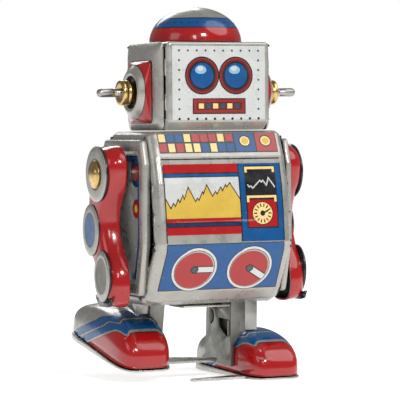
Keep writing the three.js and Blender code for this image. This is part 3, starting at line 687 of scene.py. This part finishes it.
# ---- torso printing ----
front = profile_sheet(sorted(((y, z) for y, z in CHEST), key=lambda p: p[1]))
TOP_ROW = [CREAM, BLUE, BLUE, CREAM, RED, RED, RED, CREAM, RED]
LOW_ROW = [RED, CREAM, RED, CREAM, CREAM, BLUE, CREAM, BLUE, BLUE]
BUTTON = {"left": -20.7, "right": 5.7, "low": 73.1, "middle": 76.3, "high": 79.3}
LINE = 0.34
shapes = [(0.8, BLACK, rect(BUTTON["left"], 20.9, BUTTON["low"], BUTTON["high"]))]
pitch = (BUTTON["right"] - BUTTON["left"]) / 9
for row, inks in enumerate((TOP_ROW, LOW_ROW)):
    low = BUTTON["middle"] if row == 0 else BUTTON["low"]
    high = BUTTON["high"] if row == 0 else BUTTON["middle"]
    for k, ink in enumerate(inks):
        u = BUTTON["left"] + pitch * k
        pale = ink is CREAM
        gap = LINE if pale else LINE * 0.55
        shapes.append((1.3, ink, rect(u + gap, u + pitch - gap, low + LINE, high - LINE * 0.6)))
for u0, u1, ink, centre in ((6.1, 13.1, BLUE, 9.6), (13.5, 20.6, RED, 16.95)):
    shapes += [(1.3, ink, rect(u0, u1, BUTTON["low"] + LINE, BUTTON["high"] - 0.15)),
               (1.8, BLACK, disc(centre, 76.7, 2.15, 0.86)), (2.3, CREAM, disc(centre, 76.7, 1.72, 0.86)),
               (2.8, YELLOW, disc(centre, 76.7, 1.2, 0.86))]
printing("button_print", front, shapes, "frame")

SCREEN = {"left": -20.4, "right": 5.6}
ZIGZAG = [(-20.4, 58.9), (-18.8, 55.8), (-17.8, 57.5), (-17.2, 56.5), (-16.1, 58.7), (-15.6, 57.6),
          (-14.4, 60.0),
          (-14.0, 58.6), (-12.4, 62.4), (-10.1, 57.8), (-9.4, 58.9), (-8.9, 58.2), (-7.5, 60.9),
          (-7.2, 60.2),
          (-5.9, 63.1), (-4.1, 59.4), (-3.0, 60.9), (-2.5, 60.1), (-1.0, 62.3), (-0.5, 61.1), (0.7, 63.0),
          (1.1, 62.2), (2.2, 63.6), (5.6, 58.2)]
shapes = [(0.8, WHITE, rect(SCREEN["left"], SCREEN["right"], 47.4, 68.6)),
          (1.4, YELLOW, [(SCREEN["left"], 52.5)] + ZIGZAG[:] + [(SCREEN["right"], 52.5)]),
          (1.9, BLACK, stroke(ZIGZAG, 0.3)),
          (1.4, RED, rect(SCREEN["left"], SCREEN["right"], 66.9, 69.6)),
          (1.9, BLACK, rect(SCREEN["left"], SCREEN["right"], 66.55, 66.9)),
          (1.4, BLUE, rect(SCREEN["left"], SCREEN["right"], 65.7, 66.55)),
          (1.9, BLACK, rect(SCREEN["left"], SCREEN["right"], 65.45, 65.7)),
          (1.4, RED, rect(SCREEN["left"], SCREEN["right"], 51.2, 52.6)),
          (1.4, NAVY, rect(SCREEN["left"], SCREEN["right"], 49.9, 51.2)),
          (1.9, BLACK, rect(SCREEN["left"], SCREEN["right"], 51.05, 51.3)),
          (1.9, BLACK, rect(SCREEN["left"], SCREEN["right"], 49.8, 50.0)),
          (1.4, RED, rect(SCREEN["left"], SCREEN["right"], 47.4, 49.85)),
          (2.2, BLACK, rect(-20.7, -20.4, 44.9, 69.0)), (2.2, BLACK, rect(5.45, 5.85, 44.9, 69.5)),
          (1.4, BLUE, rect(5.85, 20.6, 44.9, 69.6)), (2.2, BLACK, rect(20.4, 20.7, 44.9, 69.6)),
          (1.9, BLACK, rect(-20.7, 20.7, 71.0, 71.35))]
# the small dark screen, its brackets and the clock-like gauge
SIDE = {"left": 7.9, "right": 18.4}
shapes += [(1.9, BLACK, rect(SIDE["left"] - 0.3, SIDE["right"] + 0.3, 59.7, 68.9)),
           (2.4, CREAM, [(SIDE["left"], 66.7), (SIDE["left"] + 0.8, 66.7), (SIDE["left"] + 0.8, 67.7),
                         (SIDE["right"] - 0.8, 67.7), (SIDE["right"] - 0.8, 66.7), (SIDE["right"], 66.7),
                         (SIDE["right"], 68.5), (SIDE["left"], 68.5)]),
           (2.4, WHITE, stroke([(8.4, 62.9), (9.0, 62.1), (9.6, 62.4), (10.2, 61.7), (12.9, 64.1),
                                (13.4, 63.6),
                                (14.0, 64.1), (15.1, 62.6), (16.0, 64.9), (18.1, 61.9)], 0.42)),
           (1.9, BLACK, rect(SIDE["left"] - 0.3, SIDE["right"] + 0.3, 49.0, 59.7)),
           (2.3, RED, rect(SIDE["left"] + 0.1, SIDE["right"] - 0.1, 49.4, 59.0)),
           (2.8, BLACK, rect(SIDE["left"], SIDE["right"], 58.0, 59.5)),
           (3.2, CREAM, [(SIDE["left"], 57.3), (SIDE["left"] + 0.8, 57.3), (SIDE["left"] + 0.8, 58.6),
                         (SIDE["right"] - 0.8, 58.6), (SIDE["right"] - 0.8, 57.3), (SIDE["right"], 57.3),
                         (SIDE["right"], 59.35), (SIDE["left"], 59.35)]),
           (2.8, MAROON, disc(13.15, 53.7, 3.75)), (3.2, CREAM, disc(13.15, 53.7, 3.45))]
for k in range(14):
    angle = math.tau * k / 14
    shapes.append((3.7, BLACK, stroke([(13.15 + r * math.cos(angle), 53.7 + r * math.sin(angle))
                                       for r in (2.0, 3.1)], 0.38)))
shapes += [(3.7, BLACK, disc(13.15, 53.7, 0.85, 1, 16)), (3.7, BLACK,
                                                          stroke([(13.15, 53.7), (15.1, 54.5)], 0.5))]
printing("chest_print", front, shapes, "frame")


class Apron:
    """The slope under the chest, measured along the slope so that its dials are round."""

    low, high = (-12.6 + SET_BACK, 29.0), (-19.8 + SET_BACK, 42.0)
    length = math.dist(low, high)

    @classmethod
    def place(cls, u, v):
        if v > cls.length:
            extra = v - cls.length
            return point(u, cls.high[0] - extra * 0.152, 42.0 + extra * 0.988), Vector((0, -0.988, 0.152))
        t = v / cls.length
        spot = point(u, cls.low[0] + (cls.high[0] - cls.low[0]) * t,
                     cls.low[1] + (cls.high[1] - cls.low[1]) * t)
        normal = Vector((0, -(cls.high[1] - cls.low[1]), cls.high[0] - cls.low[0])).normalized()
        return spot, normal


apron = Sheet(Apron.place, (Apron.length,))
low_edge, high_edge = 0.6, Apron.length + 2.6
outline = [(-20.9, low_edge), (20.9, low_edge), (20.6, high_edge), (-20.6, high_edge)]
shapes = [(0.8, BLACK, outline),
          (1.3, BLUE, [(-20.55, low_edge + 0.35), (20.55, low_edge + 0.35), (20.3, high_edge - 0.3),
                       (-20.3, high_edge - 0.3)])]
for u, turn in ((-9.7, 0), (9.7, -32)):
    v = Apron.length * 0.56
    along = Vector((math.cos(math.radians(turn)), math.sin(math.radians(turn))))
    hub = Vector((u, v))
    shapes += [(1.8, BLACK, disc(u, v, 8.0, count=72)), (2.2, WHITE, disc(u, v, 7.75, count=72)),
               (2.6, BLACK, disc(u, v, 7.0, count=72)), (3.0, SILVER, disc(u, v, 6.8, count=72)),
               (3.3, RED, disc(u - 0.15, v - 0.15, 6.55, count=72)),
               (3.7, BLACK, stroke([tuple(hub), tuple(hub + along * 6.5)], 2.6)),
               (4.1, WHITE, stroke([tuple(hub + along * 1.0), tuple(hub + along * 6.5)], 1.9)),
               (4.5, BLACK, disc(u, v, 1.35, count=28)), (4.9, SLATE, disc(u, v, 0.95, count=24))]
printing("dial_print", apron, shapes, "frame")

# ---- side trays of the torso ----
TRAY_HALF = [(-12.4, 77.4), (-14.9, 69.5), (-14.9, 44.5), (-10.4, 28)]
tray_loop = anticlockwise(TRAY_HALF + [(2 * TORSO_MID - y, z) for y, z in TRAY_HALF[::-1]])


def inset(outline, distance):
    """An anticlockwise outline moved inward."""
    result = []
    for i, here in enumerate(outline):
        here = Vector(here)
        d1 = (here - Vector(outline[i - 1])).normalized()
        d2 = (Vector(outline[(i + 1) % len(outline)]) - here).normalized()
        n1 = Vector((-d1.y, d1.x))
        middle = (n1 + Vector((-d2.y, d2.x))).normalized()
        moved = here + middle * distance / middle.dot(n1)
        result.append((moved.x, moved.y))
    return result


def tray_ring(distance, corner=1.6):
    return rounded(inset(tray_loop, distance), corner, 4)


TRAY_RINGS = [(0.0, 24.1), (0.0, 25.4), (0.15, 25.8), (0.7, 26.15), (1.0, 26.2), (3.3, 26.2), (3.7, 26.1),
              (4.3, 25.3), (4.6, 25.1)]
for side, tag in ((LEFT, "L"), (RIGHT, "R")):
    loops = [[point(side * x, y, z) for y, z in tray_ring(d)] for d, x in TRAY_RINGS]
    piece = rings_mesh(f"tray_{tag}", loops, [SILVER, INSIDE_AND_SHADE], "frame", "paint_grey", None, True,
                       replaces=[f"torso_side_{tag}"])
    tally = sum(f.normal.x * side * f.area for f in piece.data.polygons)
    if tally < 0:
        piece.data.flip_normals()
    thicken(piece, 0.5)

    def field(u, v, side=side):
        return point(side * 25.1, u, v), Vector((side, 0, 0))

    shapes = []
    for ink, a, b, layer in ((BLACK, 5.0, 7.1, 0.8), (BLUE, 5.3, 6.8, 1.2)):
        outer_loop, inner_loop = tray_ring(a, 1.2), tray_ring(b, 1.0)
        shapes.append((layer, ink, outer_loop + outer_loop[:1] + inner_loop[:1] + inner_loop[::-1]))
    for v, sizes in ((66.9, ((3.9, NAVY), (3.2, BLUE), (2.6, BLACK), (2.3, RED))),
                     (55.6, ((2.6, BLACK), (2.3, RED), (1.35, BLACK), (1.1, YELLOW)))):
        for layer, (size, ink) in enumerate(sizes):
            shapes.append((1.6 + 0.4 * layer, ink, disc(-6.6, v, size, 1.15)))
    printing(f"tray_print_{tag}", Sheet(field), shapes, "frame")

# dark sheets behind the slits round the side trays and the head panels: painted shade in the gaps
for side, tag in ((LEFT, "L"), (RIGHT, "R")):
    slit_shade(f"tray_slit_shade_{tag}", 22.4, rounded(inset(TORSO_LOOP, 1.75), 1.0, 3), tray_ring(0.6, 1.0), side)
    slit_shade(f"head_slit_shade_{tag}", 17.2, rounded(inset(anticlockwise(HEAD_OUTLINE), 1.1), 0.6, 3),
           rounded_box(12.6, 13.3, 2.0, panel), side)

# ---- arms ----
ARM_FRONT = [(-1.5, 75.6), (-5, 74), (-7.3, 70.6), (-7.3, 65.5), (-6, 61.5), (-3.2, 57.8), (-1.4, 53.5),
             (-1.4, 49),
             (-3.4, 43.6), (-6.6, 39), (-8.6, 34.5), (-8.9, 29.5), (-7.6, 26), (-4.6, 24.4)]
ARM_BACK = [(1.4, 24.4), (4, 26.2), (5.6, 30), (6.4, 34.5), (9.6, 38.6), (13.2, 42), (14.9, 46.5),
            (14.9, 51),
            (13, 55.5), (12.2, 59), (12.4, 63.5), (12.2, 69), (9.9, 73.2), (6, 75.6)]
arm_loop = anticlockwise(smooth_loop(ARM_FRONT + ARM_BACK, 4))
arm_inward = normals_of(arm_loop)
ARM_RINGS = [(0.05, 28.5), (0.05, 29.0), (0.12, 30.2), (0.35, 31.4), (0.75, 32.5), (1.3, 33.4),
             (1.95, 34.05),
             (2.65, 34.45), (3.3, 34.62)]
DISCS = [((2.7, 66.5), 8.6, 9.0, GOLD_INK, 0.52), ((7.6, 48.6), 6.6, 8.4, BLUE, 0.62),
         ((-1.3, 34.2), 6.3, 8.2, OLIVE, 0.66)]
for side, tag in ((LEFT, "L"), (RIGHT, "R")):
    body = BODY[side][0]
    loops = [[point(side * x, p[0] + n.x * d, p[1] + n.y * d) for p, n in zip(arm_loop, arm_inward)]
             for d, x in ARM_RINGS]
    piece = rings_mesh(f"arm_sheet_{tag}", loops, [RED, INSIDE_AND_SHADE], body, "paint_red", None, True,
                       replaces=[f"arm_{tag}"])
    tally = sum(f.normal.x * side * f.area for f in piece.data.polygons)
    if tally < 0:
        piece.data.flip_normals()
    thicken(piece, 0.5, 1)
    for k, ((cy, cz), half_y, half_z, ink, share) in enumerate(DISCS):
        steps = 56
        plan = [(1.0, 34.2, 0), (1.0, 34.75, 0), (0.985, 34.95, 1), (0.955, 35.1, 1), (0.90, 35.24, 1),
                (0.80, 35.29, 1), (share + 0.05, 35.28, 0), (share, 35.27, 2), (share * 0.6, 35.23, 2)]
        loops = [[point(side * x, cy + half_y * s * math.cos(t), cz + half_z * s * math.sin(t))
                  for t in (math.tau * i / steps for i in range(steps))] for s, x, _ in plan]
        rings_mesh(f"arm_disc_{tag}_{k + 1}", loops, [BLACK, SILVER, ink], body, "paint_grey",
                   [paint for _, _, paint in plan], True, True)
    # the dark cuff at the open end of the hand
    cuff = [(-8.3, 27.6), (-7.0, 25.1), (-4.4, 24.5), (1.3, 24.5), (3.8, 26.4), (4.5, 28.2), (2.6, 27.2),
            (0.6, 28.3),
            (-1.6, 26.9), (-3.6, 28.0), (-5.6, 27.0)]

    loops = [[point(side * x, y, z) for y, z in anticlockwise(cuff)] for x in (34.0, 34.8)]
    rings_mesh(f"arm_cuff_{tag}", loops, [BLACK], body, "paint_red", None, True, True)
    # rivet: domed head on a stepped washer
    rivet = [(2.6, 23.2), (2.6, 23.8), (1.5, 23.9), (1.5, 35.55), (4.4, 35.6), (4.45, 35.75), (4.2, 35.95),
             (2.9, 36.0), (2.75, 36.1), (2.5, 36.4), (1.9, 36.65), (1.1, 36.76), (0.0, 36.8)]
    lathe_x(f"rivet_{tag}", side, SHOULDER, rivet, [BRASS], "frame", "brass",
            replaces=[f"shoulder_rivet_{tag}"])

# ---- ears ----
for side, tag in ((LEFT, "L"), (RIGHT, "R")):
    boss = [(1.6, 22.1), (3.6, 22.1), (3.6, 24.15), (4.05, 24.4), (4.05, 25.4), (3.9, 25.5), (3.9, 25.7),
            (4.05, 25.8),
            (4.05, 27.1), (3.95, 27.35), (3.65, 27.5), (2.2, 27.5), (2.0, 27.3), (1.6, 27.2)]
    lathe_x(f"ear_brass_{tag}", side, (EAR_Y, EAR_Z), boss, [BRASS], "frame", "brass",
            replaces=[f"ear_boss_{tag}"])
    pin = [(0.0, 22.2), (1.4, 22.3), (1.4, 29.2), (1.32, 29.3), (1.32, 29.5), (1.4, 29.6), (1.4, 33.9),
           (1.3, 34.5),
           (1.0, 34.9), (0.55, 35.12), (0.0, 35.18)]
    lathe_x(f"ear_steel_{tag}", side, (EAR_Y, EAR_Z), pin, [STEEL], "frame", "steel",
            replaces=[f"ear_pin_{tag}"], segments=32)


# ---- feet ----
def leg_point(leg, x, y, z):
    """A point of the leg's own frame, about its crank pin, in the toy's frame."""
    turn = math.radians(leg["tilt"])
    py = y * math.cos(turn) - z * math.sin(turn) + leg["pin"][0]
    pz = y * math.sin(turn) + z * math.cos(turn) + leg["pin"][1]
    return point(leg["sign"] * x, py, pz)


def foot_top(share):
    return 9.4 + 4 * math.sin(math.pi * min(1.0, share * 1.04) ** 0.85)


def power(value, exponent):
    return math.copysign(abs(value) ** exponent, value)


FOOT_X = (FOOT["inner"] + FOOT["outer"]) / 2
FOOT_HALF = (FOOT["outer"] - FOOT["inner"]) / 2


def foot_spot(angle, level):
    c, s = power(math.cos(angle), FOOT["round"]), power(math.sin(angle), FOOT["round"])
    along = (1 + s * level) / 2
    rise = foot_top(along) * max(0.0, 1 - level ** FOOT["crown"]) ** (1 / FOOT["crown"])
    return (FOOT_X + FOOT_HALF * c * level, FOOT["toe"] + FOOT["length"] * along, FOOT["base"] + rise)


SHOULDER_Z = -12.0
BANDS_FROM_TOE = [(0.0, 0), (0.4, 1), (1.6, 2), (6.8, 3), (7.1, 1), (8.0, 2), (8.3, 1), (13.9, 3),
                  (14.3, 1)]


def toe_distance(spot):
    """How far behind the red toe cap a spot lies.

    The line dips at each shoulder and slants back down the sides.
    """
    x, y, z = spot
    across = abs(x - FOOT_X) / FOOT_HALF
    ease = min(1.0, max(0.0, (across - 0.70) / 0.22))
    line = -20.2 + 5.5 * ease * ease * (3 - 2 * ease) - 1.1 * math.exp(-((across - 0.66) / 0.075) ** 2)
    return y - line - 2.0 * max(0.0, SHOULDER_Z - z)


def cut_along(work, layer, limit):
    """Splits the faces of a mesh along the line where the layer's value is the limit."""
    made = set()
    for e in list(work.edges):
        a, b = e.verts
        fa, fb = a[layer], b[layer]
        if (fa - limit) * (fb - limit) < 0:
            share = (limit - fa) / (fb - fa)
            _, fresh = bmesh.utils.edge_split(e, a, share)
            fresh[layer] = limit
            made.add(fresh)
    for f in list(work.faces):
        ends = [v for v in f.verts if v in made or abs(v[layer] - limit) < 1e-9]
        if len(ends) == 2:
            try:
                bmesh.utils.face_split(f, ends[0], ends[1])
            except ValueError:
                pass


for tag, leg in LEGS.items():
    body = BODY[leg["sign"]][1]
    steps_round, steps_up = 96, 40
    levels = [math.cos(math.pi / 2 * k / steps_up) for k in range(steps_up)] + [0.004]
    work = bmesh.new()
    distance = work.verts.layers.float.new("distance")
    grid = []
    for level in levels:
        row = []
        for i in range(steps_round):
            spot = foot_spot(math.tau * (i + 0.5) / steps_round, level)
            vert = work.verts.new(leg_point(leg, *spot))
            vert[distance] = toe_distance(spot)
            row.append(vert)
        grid.append(row)
    for low_row, high_row in zip(grid, grid[1:]):
        for i in range(steps_round):
            j = (i + 1) % steps_round
            work.faces.new((low_row[i], low_row[j], high_row[j], high_row[i]))
    work.faces.new(grid[-1])
    for limit, _ in BANDS_FROM_TOE:
        cut_along(work, distance, limit)
    for f in work.faces:
        middle = sum(v[distance] for v in f.verts) / len(f.verts)
        f.material_index = next((ink for limit, ink in BANDS_FROM_TOE if middle < limit), 2)
        f.smooth = True
    bmesh.ops.recalc_face_normals(work, faces=work.faces)
    mesh = bpy.data.meshes.new(f"foot_{tag}")
    work.to_mesh(mesh)
    work.free()
    for ink in (RED, BLACK, SILVER, BLUE, INSIDE_AND_SHADE):
        mesh.materials.append(ink)
    foot = bpy.data.objects.new(f"foot_{tag}", mesh)
    bpy.context.scene.collection.objects.link(foot)
    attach(foot, body)
    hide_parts(f"foot_shell_{tag}")
    if sum(f.normal.z * f.area for f in foot.data.polygons) < 0:
        foot.data.flip_normals()
    thicken(foot, 0.5)

    # a dark inner sheet behind the lanced windows, painted shade for the shadow inside the leg, and the tab bent up
    # from the larger one
    def window_shade_place(u, v, leg=leg):
        return leg_point(leg, 10.9, u, v), Vector((leg["sign"], 0, 0))

    printing(f"leg_window_shade_{tag}", Sheet(window_shade_place), [(7, INSIDE_AND_SHADE,
                                                       [(-10.5, -18.5), (7.2, -18.5), (7.2, -2.2),
                                                                   (-10.5, -2.2)])], body)

    def tab_place(u, v, leg=leg):
        return leg_point(leg, 9.3 + (u + 9.7) * 0.9, -9.6, v), Vector((0, -1, 0))

    printing(f"leg_tab_{tag}", Sheet(tab_place), [(6, TIN,
                                                   [(-9.7, -9.6), (-8.6, -9.6), (-8.6, -4.7),
                                                    (-9.7, -4.7)])],
             body)

# ---- carried-over nodes: each takes its metal, a smooth edge and clean shading ----
KEPT_FINISH = {}
for entry in frame["record"]["subparts"]:
    KEPT_FINISH[entry["node"]] = FINISH[entry["material_slot"]]
for name, node in frame["nodes"].items():
    if node.hide_render:
        continue
    node.data.materials.clear()
    node.data.materials.append(KEPT_FINISH[name])
    weld = node.modifiers.new("weld", "WELD")
    weld.merge_threshold = 0.003 * MM
    flat = node.modifiers.new("flat", "DECIMATE")
    flat.decimate_type = "DISSOLVE"
    flat.angle_limit = math.radians(1)
    soften(node, 0.12, 2, 32)
    for polygon in node.data.polygons:
        polygon.use_smooth = True

# ---- stage, light and camera ----
def world_light():
    """A white backdrop for the camera, and a softer even light on the toy."""
    world = bpy.data.worlds.new("studio")
    bpy.context.scene.world = world
    world.use_nodes = True
    tree = world.node_tree
    background = tree.nodes["Background"]
    background.inputs["Color"].default_value = (1, 1, 1, 1)
    seen = tree.nodes.new("ShaderNodeLightPath").outputs["Is Camera Ray"]
    level = tree.nodes.new("ShaderNodeMapRange")
    level.inputs["To Min"].default_value = 0.22
    level.inputs["To Max"].default_value = 1.0
    tree.links.new(seen, level.inputs["Value"])
    tree.links.new(level.outputs["Result"], background.inputs["Strength"])


def area_light(name, place, target, size, power_w, color=(1, 1, 1)):
    light = bpy.data.lights.new(name, "AREA")
    light.shape = "RECTANGLE"
    light.size, light.size_y = size
    light.energy = power_w
    light.color = color
    lamp = bpy.data.objects.new(name, light)
    bpy.context.scene.collection.objects.link(lamp)
    lamp.location = place
    lamp.rotation_mode = "QUATERNION"
    lamp.rotation_quaternion = (Vector(target) - Vector(place)).to_track_quat("-Z", "Y")


def soft_sun(place, strength, spread):
    light = bpy.data.lights.new("soft_sun", "SUN")
    light.energy = strength
    light.angle = math.radians(spread)
    lamp = bpy.data.objects.new("soft_sun", light)
    bpy.context.scene.collection.objects.link(lamp)
    lamp.rotation_mode = "QUATERNION"
    lamp.rotation_quaternion = (-Vector(place)).to_track_quat("-Z", "Y")


world_light()
MIDDLE = (0, 0, 0.06)
soft_sun((0.75, -0.55, 1.0), 1.25, 50)
area_light("key_light", (-0.02, -0.52, 0.38), MIDDLE, (0.10, 0.07), 1.3)
area_light("window_light", (-0.24, -0.50, 0.30), MIDDLE, (0.06, 0.12), 0.3)
area_light("fill_light", (-0.50, -0.10, 0.30), MIDDLE, (0.22, 0.22), 0.25)
area_light("back_light", (0.10, 0.50, 0.40), MIDDLE, (0.3, 0.2), 0.8)

floor_mesh = bpy.data.meshes.new("floor")
FLOOR_HALF, FLOOR_STEPS = 3.0, 24
floor_verts = [(-FLOOR_HALF + 2 * FLOOR_HALF * i / FLOOR_STEPS,
                -FLOOR_HALF + 2 * FLOOR_HALF * j / FLOOR_STEPS, -0.0002)
               for i in range(FLOOR_STEPS + 1) for j in range(FLOOR_STEPS + 1)]
floor_faces = [(i * (FLOOR_STEPS + 1) + j, (i + 1) * (FLOOR_STEPS + 1) + j,
                (i + 1) * (FLOOR_STEPS + 1) + j + 1,
                i * (FLOOR_STEPS + 1) + j + 1) for i in range(FLOOR_STEPS) for j in range(FLOOR_STEPS)]
floor_mesh.from_pydata(floor_verts, [], floor_faces)
floor = bpy.data.objects.new("floor", floor_mesh)
bpy.context.scene.collection.objects.link(floor)
paper = Nodes("paper")
paper.link(paper.ramp(paper.noise(30, 3), [(0.3, grey(0.90)), (0.7, grey(0.93))]),
           paper.shader.inputs["Base Color"])
floor_mesh.materials.append(paper.finish(Roughness=0.9, Emission_Color=(1, 1, 1, 1),
                                         Emission_Strength=0.56))

CAMERA = {"azimuth": -25.093, "elevation": 1.794, "roll": 0.515, "lens": 220.7,
          "place": (-0.33608, -0.73054, 0.08253)}
camera_data = bpy.data.cameras.new("camera")
camera_data.lens = CAMERA["lens"]
camera_data.sensor_width = 36.0
camera = bpy.data.objects.new("camera", camera_data)
bpy.context.scene.collection.objects.link(camera)
azimuth, elevation, roll = (math.radians(CAMERA[key]) for key in ("azimuth", "elevation", "roll"))
back = Vector((math.sin(azimuth) * math.cos(elevation), -math.cos(azimuth) * math.cos(elevation),
               math.sin(elevation)))
right = Vector((math.cos(azimuth), math.sin(azimuth), 0))
up = back.cross(right)
right_rolled = right * math.cos(roll) - up * math.sin(roll)
up_rolled = right * math.sin(roll) + up * math.cos(roll)
rotation = Matrix((right_rolled, up_rolled, back)).transposed().to_4x4()
camera.matrix_world = Matrix.Translation(CAMERA["place"]) @ rotation
bpy.context.scene.camera = camera
bpy.context.scene.view_settings.view_transform = "Standard"
